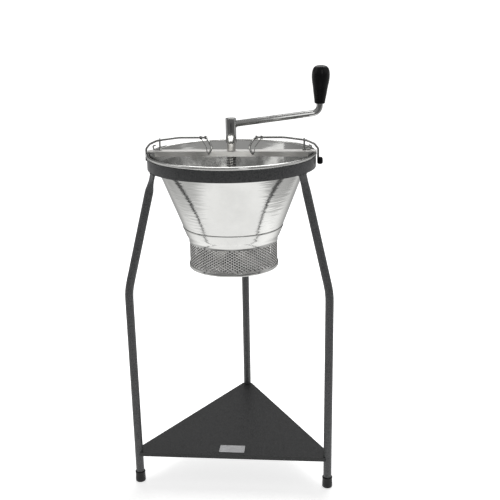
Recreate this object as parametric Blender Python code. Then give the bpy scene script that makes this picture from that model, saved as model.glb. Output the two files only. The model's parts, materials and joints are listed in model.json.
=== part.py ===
"""Hand-cranked rotary food mill on a tripod stand.

Metres, +Z up, feet on z = 0. The mill's vertical axis stands at x = 0, y = AXIS_Y, so that the
origin is the middle of the object's footprint. Everything below is laid out in the mill's own
frame, with that axis as x = y = 0: +X is the clamp end with the knob, -Y is the open front.
"""
from math import ceil, cos, pi, radians, sin, tan

import bmesh
import bpy
from mathutils import Matrix, Vector

GAP = 0.0003            # left between pieces that touch
SEGMENTS = 64           # round a large turned piece
ROUND = 20              # round a small turned piece

# Stand
AXIS_Y = -0.03975
TUBE_R = 0.0100
TUBE_WALL = 0.0015
TUBE_SIDES = 16
FOOT_RADIUS = 0.2685    # from the mill's axis to a foot
BEND_RADIUS = 0.2705    # from the mill's axis to a leg's bend
BEND_Z = 0.502
BEND_CURVE = 0.150
LEG_ANGLES = {"front_left": 210, "front_right": 330, "back": 90}
RING_R = 0.2000
RING_WALL = 0.0030
RING_Z = 0.7720
RING_TOP = 0.7990
LUG_HALF_WIDTH = 0.0150
LUG_HALF_THICKNESS = 0.0022
LUG_LENGTH = 0.0120     # flat end of a leg under the ring
PRESS_LENGTH = 0.0300   # over which a leg's tube goes from round to flat
PRESS_STEPS = 5
CAP_R = 0.0125
CAP_HEIGHT = 0.0280
CAP_FLOOR = 0.0032
SHELF_Z = 0.0834
SHELF_SHEET = 0.0015
SHELF_FLANGE = 0.0100
SHELF_REACH = 0.1450    # from the mill's axis to a shelf edge
SHELF_PRONG = 0.0040    # shelf sheet left between its recess and a leg
NOTCH_STEPS = 8
PLATE_SIZE = (0.0620, 0.0340, 0.0008)
PLATE_CENTRE = (-0.0025, -0.1155)

# Hopper and sieve
SHEET = 0.0012
BEAD_R = 0.0040
BEAD_CENTRE = (0.1975, RING_TOP + GAP + BEAD_R)
BEAD_TOP = BEAD_CENTRE[1] + BEAD_R
BEAD_STEPS = 12
CONE_SLOPE = 0.388      # radius gained for each metre of height
CONE_FOOT = (0.1077, 0.5965)
CONE_TOP_Z = 0.7970
CONE_END_Z = 0.6060
COLLAR_TOP = 0.6300
COLLAR_FOOT = 0.5925
DRUM_R = 0.1068
DRUM_WALL = 0.0010
DRUM_TOP = 0.5975
FLOOR_Z = 0.5300        # underside of the sieve's floor plate
FLOOR_PLATE = 0.0015
FLOOR_RIM = (0.5280, 0.5375)
FLOOR_RIM_R = 0.1092
SLIP_FIT = 0.00035      # between the sieve's collar and the hopper
STUD_FLANGE_R = 0.0110
STUD_PIN_R = 0.0040
STUD_HEIGHT = 0.0105

# Crossbar and its wire clamps
BAR_SHEET = 0.0020
BAR_TOP = BEAD_TOP + GAP + BAR_SHEET
BAR_HALF = (0.2010, 0.0155)
BAR_FLANGE_Z = 0.7975   # foot of the two side flanges
BAR_FLANGE_X = 0.1815   # how far out the side flanges run
BAR_CLEARANCE = 0.0017  # round the shaft
BUSH_R = 0.0102
BUSH_TOP = 0.8280
WIRE_R = 0.0025
WIRE_SIDES = 8
PIVOT_X = 0.0520
PIVOT_Z = BAR_TOP - BAR_SHEET - WIRE_R - 2 * GAP
PIVOT_Y = -0.0190
WIRE_TOP = 0.8405
POST_X = 0.1720
POST_R = 0.0021
POST_BASE_R = 0.0042
POST_TOP = 0.8382
WIRE_END_X = 0.2048
WIRE_END_Z = 0.7945
KNOB_SHAPE = {          # radius, foot, how far it is outside its wire
    "left": (0.0028, 0.7850, 0.0),
    "right": (0.0068, 0.7770, 0.0044),
}
TAB_CENTRE = (-0.0850, 0.7962)
TAB_HALF = 0.0084       # half the tab's diagonal
TAB_SHEET = 0.0012

# Rotor, spring and crank
SHAFT_R = 0.0077
SHAFT_Z = (0.5355, 0.8850)
SHAFT_SOCKET = (0.0043, 0.0090)      # radius and depth of the hole over the pivot stud
SHAFT_COLLAR_R = 0.0130
SHAFT_COLLAR_HEIGHT = 0.0180
ROTOR_HUB_R = 0.0150
ROTOR_HUB_Z = (0.5450, 0.6000)
BLADE_COUNT = 3
BLADE_REACH = 0.1000
BLADE_Z = (0.5365, 0.5900)
BLADE_THICKNESS = 0.0025
BLADE_SWEEP = 38        # degrees that a vane trails at its tip
BLADE_LEAN = 0.0060     # how far its foot and its top are off its middle line
BLADE_ROOT = 0.0100     # its foot is this much higher at the hub
BLADE_ROOT_PART = 0.55  # its height at the hub, as a part of its height at the tip
BLADE_STEPS = 7
BLADE_TURN = 50         # degrees from +X for the first vane
SPRING_SEAT_Z = (0.6900, 0.6930)
SPRING_SEAT_R = 0.0160
SPRING_MEAN_R = 0.0112
SPRING_WIRE_R = 0.0013
SPRING_PITCH = 0.0060
SPRING_STEPS = 8        # points for each turn
SPRING_SIDES = 5
HUB_R = 0.0125
HUB_Z = (0.8285, 0.8860)
PIN_R = 0.0024
PIN_Z = HUB_Z[0] + 0.0120
ARM_R = 0.0075
ARM_Z = 0.8715
ARM_TURN = 10           # degrees from +X at rest
ARM_RISE = 6            # degrees above level
ARM_REACH = 0.2105
ARM_BEND = 0.0200
GRIP_TILT = 2           # degrees outward from upright
GRIP_Z = 0.9150
GRIP_LENGTH = 0.0880
WASHER_R = 0.0098
WASHER_HEIGHT = 0.0010
SPINDLE_R = 0.0060
GRIP_BORE_R = SPINDLE_R + GAP
SPINDLE_LENGTH = 0.0640


def clear_scene():
    for item in list(bpy.data.objects):
        bpy.data.objects.remove(item, do_unlink=True)


def make_material(name, colour, roughness, metallic):
    material = bpy.data.materials.new(name)
    material.use_nodes = True
    shader = material.node_tree.nodes["Principled BSDF"]
    shader.inputs["Base Color"].default_value = (*colour, 1.0)
    shader.inputs["Roughness"].default_value = roughness
    shader.inputs["Metallic"].default_value = metallic
    return material


def add_empty(name, location, parent=None, turn=(0.0, 0.0, 0.0)):
    empty = bpy.data.objects.new(name, None)
    bpy.context.collection.objects.link(empty)
    empty.location = location
    empty.rotation_euler = turn
    empty.parent = parent
    return empty


def add_object(name, bm, material, parent, location=(0.0, 0.0, 0.0), crease=40):
    """Turn a bmesh in the parent's frame into an object whose origin is at location."""
    bmesh.ops.remove_doubles(bm, verts=bm.verts, dist=1e-7)
    bmesh.ops.dissolve_degenerate(bm, edges=bm.edges, dist=1e-7)
    bmesh.ops.recalc_face_normals(bm, faces=bm.faces)
    bmesh.ops.translate(bm, verts=bm.verts, vec=-Vector(location))
    mesh = bpy.data.meshes.new(name)
    bm.to_mesh(mesh)
    bm.free()
    mesh.materials.append(material)
    mesh.shade_smooth()
    mesh.set_sharp_from_angle(angle=radians(crease))
    item = bpy.data.objects.new(name, mesh)
    bpy.context.collection.objects.link(item)
    item.location = location
    item.parent = parent
    return item


def cut(target, name, bm):
    """Subtract a closed bmesh, given in the target's parent frame, from the target."""
    bmesh.ops.recalc_face_normals(bm, faces=bm.faces)
    mesh = bpy.data.meshes.new(name)
    bm.to_mesh(mesh)
    bm.free()
    cutter = bpy.data.objects.new(name, mesh)
    bpy.context.collection.objects.link(cutter)
    cutter.parent = target.parent
    cutter.hide_render = True
    cutter.display_type = "WIRE"
    modifier = target.modifiers.new(name, "BOOLEAN")
    modifier.object = cutter
    modifier.operation = "DIFFERENCE"
    modifier.solver = "EXACT"


def turned(profile, segments, closed=True):
    """Spin (radius, z) points about Z. An open profile starts and ends on the axis."""
    bm = bmesh.new()
    verts = [bm.verts.new((radius, 0.0, z)) for radius, z in profile]
    edges = [bm.edges.new(pair) for pair in zip(verts, verts[1:])]
    if closed:
        edges.append(bm.edges.new((verts[-1], verts[0])))
    bmesh.ops.spin(bm, geom=verts + edges, cent=(0, 0, 0), axis=(0, 0, 1), angle=2 * pi, steps=segments,
                   use_merge=True)
    return bm


def loft(sections):
    """Skin a list of equal rings of points and close both ends."""
    bm = bmesh.new()
    rings = [[bm.verts.new(point) for point in section] for section in sections]
    count = len(rings[0])
    for lower, upper in zip(rings, rings[1:]):
        for i in range(count):
            j = (i + 1) % count
            bm.faces.new((lower[i], lower[j], upper[j], upper[i]))
    bm.faces.new(rings[0])
    bm.faces.new(rings[-1])
    return bm


def rounded_path(corners, bends, step=radians(15)):
    """Replace each inner corner of a polyline by an arc of the given radius."""
    path = [Vector(corners[0])]
    for before, corner, after, bend in zip(corners, corners[1:], corners[2:], bends):
        before, corner, after = Vector(before), Vector(corner), Vector(after)
        incoming = (corner - before).normalized()
        outgoing = (after - corner).normalized()
        angle = incoming.angle(outgoing)
        start = corner - incoming * bend * tan(angle / 2)
        inward = (outgoing - incoming * incoming.dot(outgoing)).normalized()
        centre = start + inward * bend
        count = max(2, ceil(angle / step))
        for i in range(count + 1):
            turn = angle * i / count
            path.append(centre - inward * bend * cos(turn) + incoming * bend * sin(turn))
    path.append(Vector(corners[-1]))
    return path


def tangents(path):
    found = [(path[1] - path[0]).normalized()]
    for before, after in zip(path, path[2:]):
        found.append((after - before).normalized())
    found.append((path[-1] - path[-2]).normalized())
    return found


def rod(path, radius, sides, end_radius=None):
    """A round rod along a path. end_radius, if given, holds for the path's last stretch."""
    sections = []
    direction = tangents(path)
    side = direction[0].orthogonal().normalized()
    for point, forward in zip(path, direction):
        side = (side - forward * side.dot(forward)).normalized()
        other = forward.cross(side)
        ring = [side * cos(2 * pi * i / sides) + other * sin(2 * pi * i / sides) for i in range(sides)]
        sections.append([point + spoke * radius for spoke in ring])
    if end_radius:
        last = sections[-1]
        sections[-1] = [path[-2] + (p - path[-1]) * end_radius / radius for p in last]
        sections.append([path[-1] + (p - path[-1]) * end_radius / radius for p in last])
    return loft(sections)


def box(low, high):
    bm = bmesh.new()
    bmesh.ops.create_cube(bm, size=1.0)
    size = Vector(high) - Vector(low)
    bmesh.ops.scale(bm, verts=bm.verts, vec=size)
    bmesh.ops.translate(bm, verts=bm.verts, vec=(Vector(low) + Vector(high)) / 2)
    return bm


def cylinder(radius, start, end, sides=ROUND):
    start, end = Vector(start), Vector(end)
    return rod([start, start.lerp(end, 0.5), end], radius, sides)


def merged(*parts):
    """Several separate closed bodies in one bmesh, for use as a cutter."""
    together = bmesh.new()
    for part in parts:
        mesh = bpy.data.meshes.new("part")
        part.to_mesh(mesh)
        part.free()
        together.from_mesh(mesh)
        bpy.data.meshes.remove(mesh)
    return together


def tube_profile(outer, inner, low, high, edge=0.0004):
    """Profile of a turned tube with small chamfers outside."""
    return [(inner, low), (outer - edge, low), (outer, low + edge), (outer, high - edge),
            (outer - edge, high), (inner, high)]


# ---------------------------------------------------------------- stand

def leg_radius(z):
    """How far the lower, nearly upright stretch of a leg's centre line is from the mill's axis."""
    return FOOT_RADIUS + (BEND_RADIUS - FOOT_RADIUS) * z / BEND_Z


def leg_path():
    """Centre line of a leg as (radius, 0, z): up, over the bend, and in to the ring's lower edge.

    The last stretch has extra points, where the tube is pressed flat. The second value is the first of them.
    """
    foot_z = CAP_FLOOR + GAP
    foot = (leg_radius(foot_z), 0, foot_z)
    top = Vector((RING_R - LUG_HALF_THICKNESS, 0, RING_Z - GAP))
    path = rounded_path([foot, (BEND_RADIUS, 0, BEND_Z), top], (BEND_CURVE,), radians(5))
    back = (path[-2] - top).normalized()
    pressed = []
    for i in range(PRESS_STEPS + 1):
        pressed.append(top + back * (LUG_LENGTH + PRESS_LENGTH * (1 - i / PRESS_STEPS)))
    return path[:-1] + pressed + [top], len(path) - 1


def leg_section(point, forward, flatness, inset):
    """Ring round the centre line: a circle that is pressed flat as flatness goes from 0 to 1."""
    half_width = TUBE_R + (LUG_HALF_WIDTH - TUBE_R) * flatness - inset
    half_depth = TUBE_R + (LUG_HALF_THICKNESS - TUBE_R) * flatness - inset
    power = 1.0 - 0.45 * flatness
    normal = Vector((forward.z, 0.0, -forward.x))
    ring = []
    for i in range(TUBE_SIDES):
        across, along = cos(2 * pi * i / TUBE_SIDES), sin(2 * pi * i / TUBE_SIDES)
        depth = half_depth * abs(across) ** power * (1 if across > 0 else -1)
        width = half_width * abs(along) ** power * (1 if along > 0 else -1)
        ring.append(point + normal * depth + Vector((0.0, width, 0.0)))
    return ring


def add_legs(parent, paint, rubber):
    path, pressed = leg_path()
    forward = tangents(path)
    progress = [min(1.0, max(0.0, (i - pressed) / PRESS_STEPS)) for i in range(len(path))]
    flatness = [part * part * (3 - 2 * part) for part in progress]
    outer = [leg_section(*item, 0.0) for item in zip(path, forward, flatness)]
    outer[-1] = [point + forward[-1] * ((path[-1].z - point.z) / forward[-1].z) for point in outer[-1]]
    bore = [leg_section(*item, TUBE_WALL) for item in zip(path, forward, flatness)][:pressed + 1]
    cap_profile = [(0.0, 0.0), (CAP_R - 0.0020, 0.0), (CAP_R - 0.0006, 0.0006), (CAP_R, 0.0020),
                   (CAP_R, CAP_HEIGHT - 0.0008), (CAP_R - 0.0008, CAP_HEIGHT), (TUBE_R + GAP, CAP_HEIGHT),
                   (TUBE_R + GAP, CAP_FLOOR), (0.0, CAP_FLOOR)]
    for side, degrees in LEG_ANGLES.items():
        leg = add_object("leg_" + side, loft(bore[::-1] + outer), paint, parent)
        leg.rotation_euler.z = radians(degrees)
        cap = add_object("foot_cap_" + side, turned(cap_profile, ROUND, closed=False), rubber, parent)
        cap.location = Matrix.Rotation(radians(degrees), 3, "Z") @ Vector((FOOT_RADIUS, 0.0, 0.0))


def shelf_outline():
    """Corners of the three-sided shelf, with a notch round each leg."""
    radius = leg_radius(SHELF_Z)
    notch = TUBE_R + GAP
    prong = (2 * SHELF_REACH - radius) * tan(radians(30))
    outline = []
    for degrees in sorted(LEG_ANGLES.values()):
        turn = Matrix.Rotation(radians(degrees), 3, "Z")
        corner = [(radius, -prong)]
        for i in range(NOTCH_STEPS + 1):
            swing = radians(270 - 180 * i / NOTCH_STEPS)
            corner.append((radius + notch * cos(swing), notch * sin(swing)))
        corner.append((radius, prong))
        outline += [turn @ Vector((x, y, 0.0)) for x, y in corner]
    return outline


def prism(outline, low, high):
    return loft([[Vector((p.x, p.y, z)) for p in outline] for z in (low, high)])


def add_shelf(parent, paint, plate_metal):
    bm = prism(shelf_outline(), SHELF_Z - SHELF_FLANGE, SHELF_Z)
    shelf = add_object("shelf", bm, paint, parent, crease=30)
    reach = SHELF_REACH - SHELF_SHEET
    corner = leg_radius(SHELF_Z) - TUBE_R - SHELF_PRONG
    half = (2 * reach - corner) * tan(radians(30))
    outline = []
    for degrees in sorted(LEG_ANGLES.values()):
        turn = Matrix.Rotation(radians(degrees), 3, "Z")
        outline += [turn @ Vector((corner, y, 0.0)) for y in (-half, half)]
    recess = prism(outline, SHELF_Z - 2 * SHELF_FLANGE, SHELF_Z - SHELF_SHEET)
    cut(shelf, "shelf_recess", recess)
    centre = Vector((*PLATE_CENTRE, SHELF_Z + GAP + PLATE_SIZE[2] / 2))
    half = Vector(PLATE_SIZE) / 2
    add_object("name_plate", box(centre - half, centre + half), plate_metal, parent)


def add_ring(parent, paint):
    edge = 0.0005
    inner = RING_R - RING_WALL
    profile = [(inner, RING_Z), (RING_R - edge, RING_Z), (RING_R, RING_Z + edge), (RING_R, RING_TOP - edge),
               (RING_R - edge, RING_TOP), (inner, RING_TOP)]
    add_object("support_ring", turned(profile, SEGMENTS), paint, parent)


# ---------------------------------------------------------------- hopper and sieve

def cone_radius(z):
    """Outer radius of the hopper's cone."""
    return CONE_FOOT[0] + CONE_SLOPE * (z - CONE_FOOT[1])


def add_hopper(parent, steel):
    slant = SHEET * (1 + CONE_SLOPE ** 2) ** 0.5
    bead_r, bead_z = BEAD_CENTRE
    lip_r = cone_radius(CONE_TOP_Z)
    bead = []
    for i in range(BEAD_STEPS + 1):
        swing = radians(-140 + 290 * i / BEAD_STEPS)
        bead.append((bead_r + BEAD_R * cos(swing), bead_z + BEAD_R * sin(swing)))
    profile = [(cone_radius(CONE_END_Z), CONE_END_Z), (lip_r, CONE_TOP_Z)]
    profile.append((lip_r + 0.0025, CONE_TOP_Z + 0.0027))
    profile += bead
    profile += [(lip_r + 0.0015, CONE_TOP_Z + 0.0042), (lip_r - slant, CONE_TOP_Z + 0.0004),
                (cone_radius(CONE_END_Z) - slant, CONE_END_Z)]
    add_object("hopper_cone", turned(profile, SEGMENTS), steel, parent, crease=25)


def add_sieve(parent, steel):
    bend_z = CONE_FOOT[1] + DRUM_WALL
    inner_top = cone_radius(COLLAR_TOP) + SLIP_FIT
    inner_bend = cone_radius(bend_z) + SLIP_FIT
    lip = DRUM_R + SLIP_FIT
    collar = [(lip, COLLAR_FOOT), (lip + DRUM_WALL, COLLAR_FOOT),
              (lip + DRUM_WALL, bend_z - 1.5 * DRUM_WALL), (inner_bend + DRUM_WALL, bend_z),
              (inner_top + DRUM_WALL, COLLAR_TOP), (inner_top, COLLAR_TOP),
              (inner_bend, bend_z + DRUM_WALL), (lip, bend_z - DRUM_WALL / 2)]
    add_object("sieve_collar", turned(collar, SEGMENTS), steel, parent, crease=25)

    plate_top = FLOOR_Z + FLOOR_PLATE
    foot = plate_top + GAP
    drum = [(DRUM_R - DRUM_WALL, foot), (DRUM_R, foot), (DRUM_R, DRUM_TOP), (DRUM_R - DRUM_WALL, DRUM_TOP)]
    add_object("sieve_drum", turned(drum, SEGMENTS), steel, parent, crease=25)

    low, high = FLOOR_RIM
    inner = DRUM_R + GAP
    bulge = 0.0003
    turn = 0.0014
    floor = [(0.0, FLOOR_Z), (inner - 0.0020, FLOOR_Z), (inner - 0.0008, low), (FLOOR_RIM_R - turn, low),
             (FLOOR_RIM_R - bulge, low + turn), (FLOOR_RIM_R, (low + high) / 2),
             (FLOOR_RIM_R - bulge, high - turn), (FLOOR_RIM_R - turn, high), (inner, high),
             (inner, plate_top), (0.0, plate_top)]
    add_object("sieve_floor", turned(floor, SEGMENTS, closed=False), steel, parent, crease=35)

    flange_top = foot + 0.0025
    top = foot + STUD_HEIGHT
    stud = [(0.0, foot), (STUD_FLANGE_R, foot), (STUD_FLANGE_R, flange_top - 0.0010),
            (STUD_FLANGE_R - 0.0010, flange_top), (STUD_PIN_R, flange_top), (STUD_PIN_R, top - 0.0015),
            (STUD_PIN_R - 0.0010, top), (0.0, top)]
    add_object("pivot_stud", turned(stud, ROUND, closed=False), steel, parent)


# ---------------------------------------------------------------- crossbar

def add_crossbar(parent, steel, bush_metal, dark):
    half_x, half_y = BAR_HALF
    inner_y = half_y - BAR_SHEET
    web_z = BAR_TOP - BAR_SHEET
    edge = 0.0008
    outline = [(-half_y, BAR_FLANGE_Z), (-half_y, BAR_TOP - edge), (-half_y + edge, BAR_TOP),
               (half_y - edge, BAR_TOP), (half_y, BAR_TOP - edge), (half_y, BAR_FLANGE_Z),
               (inner_y, BAR_FLANGE_Z), (inner_y, web_z), (-inner_y, web_z), (-inner_y, BAR_FLANGE_Z)]
    sections = [[Vector((x, y, z)) for y, z in outline] for x in (-half_x, half_x)]
    bar = add_object("crossbar", loft(sections), steel, parent, crease=30)
    ends = []
    for sign in (-1, 1):
        near, far = sorted((sign * BAR_FLANGE_X, sign * (half_x + 0.01)))
        ends.append(box((near, -0.03, BAR_FLANGE_Z - 0.01), (far, 0.03, web_z)))
    bore = cylinder(SHAFT_R + BAR_CLEARANCE, (0, 0, BAR_TOP + 0.01), (0, 0, web_z - 0.01))
    holes = []
    for sign in (-1, 1):
        x = sign * PIVOT_X
        front, back = -half_y - 0.005, -inner_y + 0.002
        holes.append(cylinder(WIRE_R + GAP, (x, front, PIVOT_Z), (x, back, PIVOT_Z), 12))
    cut(bar, "crossbar_openings", merged(*ends, bore, *holes))

    bore_r = SHAFT_R + GAP
    neck_r = SHAFT_R + BAR_CLEARANCE - GAP
    neck_foot = web_z - 0.0080
    chamfer = 0.0006
    bush = [(bore_r, neck_foot), (neck_r, neck_foot), (neck_r, BAR_TOP + GAP), (BUSH_R, BAR_TOP + GAP),
            (BUSH_R, BUSH_TOP - chamfer), (BUSH_R - chamfer, BUSH_TOP), (bore_r, BUSH_TOP)]
    add_object("bar_bush", turned(bush, ROUND), bush_metal, parent)

    add_bar_tab(parent, steel)
    foot = BAR_TOP + GAP
    outline = [(0.0, foot), (POST_BASE_R, foot), (POST_BASE_R, foot + 0.0018), (POST_R, foot + 0.0034),
               (POST_R, POST_TOP - 0.0014), (POST_R - 0.0009, POST_TOP), (0.0, POST_TOP)]
    for sign, side in ((-1, "left"), (1, "right")):
        post = add_object("wire_post_" + side, turned(outline, 12, closed=False), dark, parent)
        post.location = (sign * POST_X, WIRE_R + POST_R + GAP, 0.0)


def add_bar_tab(parent, steel):
    """Small square plate on the front flange, standing on its corner."""
    x, z = TAB_CENTRE
    face_y = -BAR_HALF[1] - GAP
    corners = [(x + TAB_HALF, z), (x, z + TAB_HALF), (x - TAB_HALF, z), (x, z - TAB_HALF)]
    sections = [[Vector((px, y, pz)) for px, pz in corners] for y in (face_y - TAB_SHEET, face_y)]
    add_object("bar_tab", loft(sections), steel, parent)


def clamp_path(sign):
    """Centre line of a clamp wire, from its hooked inner end to the outside of the rim."""
    inner = PIVOT_X
    corners = [(inner, -0.0095, PIVOT_Z), (inner, PIVOT_Y, PIVOT_Z),
               (inner - 0.0085, PIVOT_Y, PIVOT_Z + 0.0150), (inner - 0.0020, PIVOT_Y, WIRE_TOP - 0.0080),
               (inner + 0.0060, 0.0, WIRE_TOP),
               (0.1250, 0.0, WIRE_TOP), (POST_X + 0.006, 0.0, 0.8335), (0.1960, 0.0, 0.8250),
               (WIRE_END_X, 0.0, 0.8140), (WIRE_END_X, 0.0, WIRE_END_Z)]
    bends = (0.0034, 0.0100, 0.0080, 0.0080, 0.1000, 0.0500, 0.0080, 0.0080)
    corners = [(sign * x, y, z) for x, y, z in corners]
    return rounded_path(corners, bends, radians(22))


def add_clamp(parent, sign, side, wire_metal, black):
    pivot = (sign * PIVOT_X, PIVOT_Y, PIVOT_Z)
    path = clamp_path(sign)
    add_object("clamp_wire_" + side, rod(path, WIRE_R, WIRE_SIDES), wire_metal, parent, location=pivot)
    radius, low, offset = KNOB_SHAPE[side]
    high = WIRE_END_Z - GAP
    shoulder = radius * 0.4
    half_shoulder = shoulder / 2
    outline = [(0.0, low), (radius * 0.55, low), (radius * 0.9, low + half_shoulder),
               (radius, low + shoulder), (radius, high - shoulder), (radius * 0.9, high - half_shoulder),
               (radius * 0.55, high), (0.0, high)]
    knob = turned(outline, 16, closed=False)
    bmesh.ops.translate(knob, verts=knob.verts, vec=(sign * (WIRE_END_X + offset), 0.0, 0.0))
    add_object("clamp_knob_" + side, knob, black, parent, location=pivot)


# ---------------------------------------------------------------- rotor, spring and crank

def blade_sections():
    """A swept, tilted vane from the rotor's hub to near the drum, as four-cornered sections."""
    low, high = BLADE_Z
    start = ROTOR_HUB_R + 0.0008
    half = BLADE_THICKNESS / 2
    sections = []
    for i in range(BLADE_STEPS + 1):
        part = i / BLADE_STEPS
        radius = start + (BLADE_REACH - start) * part
        sweep = radians(BLADE_SWEEP) * part ** 1.5
        centre = Vector((radius * cos(sweep), radius * sin(sweep), 0.0))
        across = Vector((-sin(sweep), cos(sweep), 0.0))
        foot = Vector((0, 0, low + (BLADE_ROOT if i == 0 else 0.0)))
        top = Vector((0, 0, low + (high - low) * (BLADE_ROOT_PART + (1 - BLADE_ROOT_PART) * part)))
        sections.append([
            centre + across * (BLADE_LEAN + half) + foot,
            centre + across * (BLADE_LEAN - half) + foot,
            centre - across * (BLADE_LEAN + half) + top,
            centre - across * (BLADE_LEAN - half) + top,
        ])
    return sections


def pin_body(radius, reach):
    """The crank pin, or its hole, straight across the shaft."""
    return cylinder(radius, (0, -reach, PIN_Z), (0, reach, PIN_Z), 12)


def add_rotor(parent, steel):
    low, high = SHAFT_Z
    edge = 0.0008
    socket_r, socket_depth = SHAFT_SOCKET
    shaft = [(0.0, low + socket_depth), (socket_r, low + socket_depth), (socket_r, low),
             (SHAFT_R - edge, low), (SHAFT_R, low + edge), (SHAFT_R, high - edge),
             (SHAFT_R - edge, high), (0.0, high)]
    shaft = add_object("shaft", turned(shaft, ROUND, closed=False), steel, parent)
    cut(shaft, "shaft_pin_hole", pin_body(PIN_R + GAP, 0.02))

    bore = SHAFT_R + GAP
    add_object("rotor_hub", turned(tube_profile(ROTOR_HUB_R, bore, *ROTOR_HUB_Z), ROUND), steel, parent)
    collar_top = SPRING_SEAT_Z[0] - GAP
    collar = tube_profile(SHAFT_COLLAR_R, bore, collar_top - SHAFT_COLLAR_HEIGHT, collar_top)
    add_object("shaft_collar", turned(collar, ROUND), steel, parent)
    for i in range(BLADE_COUNT):
        blade = add_object(f"rotor_blade_{i + 1}", loft(blade_sections()), steel, parent)
        blade.rotation_euler.z = radians(BLADE_TURN + 360 * i / BLADE_COUNT)


def add_spring(parent, spring_metal, steel):
    seat = tube_profile(SPRING_SEAT_R, SHAFT_R + GAP, *SPRING_SEAT_Z)
    add_object("spring_seat", turned(seat, ROUND), steel, parent)
    low = SPRING_SEAT_Z[1] + SPRING_WIRE_R + GAP
    high = BAR_TOP - BAR_SHEET - SPRING_WIRE_R - GAP
    turns = round((high - low) / SPRING_PITCH)
    count = turns * SPRING_STEPS
    path = []
    for i in range(count + 1):
        swing = 2 * pi * i / SPRING_STEPS
        height = low + (high - low) * i / count
        path.append(Vector((SPRING_MEAN_R * cos(swing), SPRING_MEAN_R * sin(swing), height)))
    add_object("pressure_spring", rod(path, SPRING_WIRE_R, SPRING_SIDES), spring_metal, parent)


def grip_frame():
    """Where the grip's axis starts and the direction it points, in the crank's frame."""
    lean = radians(GRIP_TILT)
    return Vector((ARM_REACH, 0.0, GRIP_Z)), Vector((sin(lean), 0.0, cos(lean)))


def add_crank(parent, steel, dark):
    low, high = HUB_Z
    bore = SHAFT_R + GAP
    hub = add_object("crank_hub", turned(tube_profile(HUB_R, bore, low, high, 0.0008), 24), steel, parent)
    rise = radians(ARM_RISE)
    outward = Vector((cos(rise), 0.0, sin(rise)))
    start = Vector((0.0, 0.0, ARM_Z)) + outward * (SHAFT_R + 0.0014)
    cut(hub, "arm_socket", cylinder(ARM_R + GAP, start - outward * GAP, start + outward * 0.03))

    grip_base, grip_axis = grip_frame()
    run = (ARM_REACH - start.x) / outward.x
    corner = start + outward * run
    shoulder = grip_base - grip_axis * (WASHER_HEIGHT + 2 * GAP)
    top = grip_base + grip_axis * SPINDLE_LENGTH
    path = rounded_path([start, corner, shoulder], (ARM_BEND - 0.002,), radians(12))
    arm = rod(path + [top], ARM_R, 16, end_radius=SPINDLE_R)
    add_object("crank_arm", arm, steel, parent)

    cut(hub, "hub_pin_hole", pin_body(PIN_R + GAP, 0.02))
    add_object("hub_pin", pin_body(PIN_R, HUB_R - 0.0002), dark, parent)


def add_grip(parent, steel, black):
    base, axis = grip_frame()
    tilt = (0.0, radians(GRIP_TILT), 0.0)
    holder = add_empty("grip_axis", base, parent, tilt)
    washer = tube_profile(WASHER_R, SPINDLE_R + GAP, -GAP - WASHER_HEIGHT, -GAP, 0.0002)
    add_object("grip_washer", turned(washer, ROUND), steel, holder)
    bore_end = SPINDLE_LENGTH + 0.0010
    skin = [(0.0, GRIP_LENGTH), (0.0075, 0.0874), (0.0140, 0.0850), (0.0183, 0.0800), (0.0207, 0.0720),
            (0.0212, 0.0630), (0.0203, 0.0520), (0.0178, 0.0380), (0.0158, 0.0240), (0.0132, 0.0080),
            (0.0124, 0.0012), (0.0112, 0.0), (GRIP_BORE_R, 0.0), (GRIP_BORE_R, bore_end), (0.0, bore_end)]
    add_object("grip", turned(skin, ROUND + 4, closed=False), black, holder, crease=50)


def build():
    clear_scene()
    paint = make_material("painted_steel", (0.050, 0.052, 0.056), 0.42, 0.0)
    rubber = make_material("rubber_black", (0.012, 0.012, 0.012), 0.65, 0.0)
    steel = make_material("polished_steel", (0.62, 0.61, 0.59), 0.22, 1.0)
    bright = make_material("bright_steel", (0.70, 0.70, 0.70), 0.12, 1.0)
    spring_metal = make_material("spring_steel", (0.30, 0.30, 0.30), 0.35, 1.0)
    black = make_material("black_plastic", (0.010, 0.010, 0.011), 0.25, 0.0)
    plate_metal = make_material("plate_metal", (0.72, 0.73, 0.75), 0.35, 1.0)

    mill = add_empty("mill_axis", (0.0, AXIS_Y, 0.0))
    crank = add_empty("crank_axis", (0.0, 0.0, 0.0), mill, (0.0, 0.0, radians(ARM_TURN)))

    add_ring(mill, paint)
    add_legs(mill, paint, rubber)
    add_shelf(mill, paint, plate_metal)
    add_hopper(mill, steel)
    add_sieve(mill, steel)
    add_crossbar(mill, steel, bright, bright)
    for sign, side in ((-1, "left"), (1, "right")):
        add_clamp(mill, sign, side, bright, black)
    add_spring(mill, spring_metal, steel)
    add_rotor(crank, steel)
    add_crank(crank, bright, spring_metal)
    add_grip(crank, bright, black)


build()
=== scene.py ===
"""Looks of a hand-cranked food mill on its tripod stand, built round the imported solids.

Metres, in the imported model's frame: feet on z = 0, the mill's axis upright, the crossbar along X
and the open front towards -Y. Sizes come from the solids' boxes, with the shape values below.
"""

import json
from math import ceil, cos, hypot, pi, radians, sin, tan

import bmesh
import bpy
from mathutils import Matrix, Vector


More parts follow.
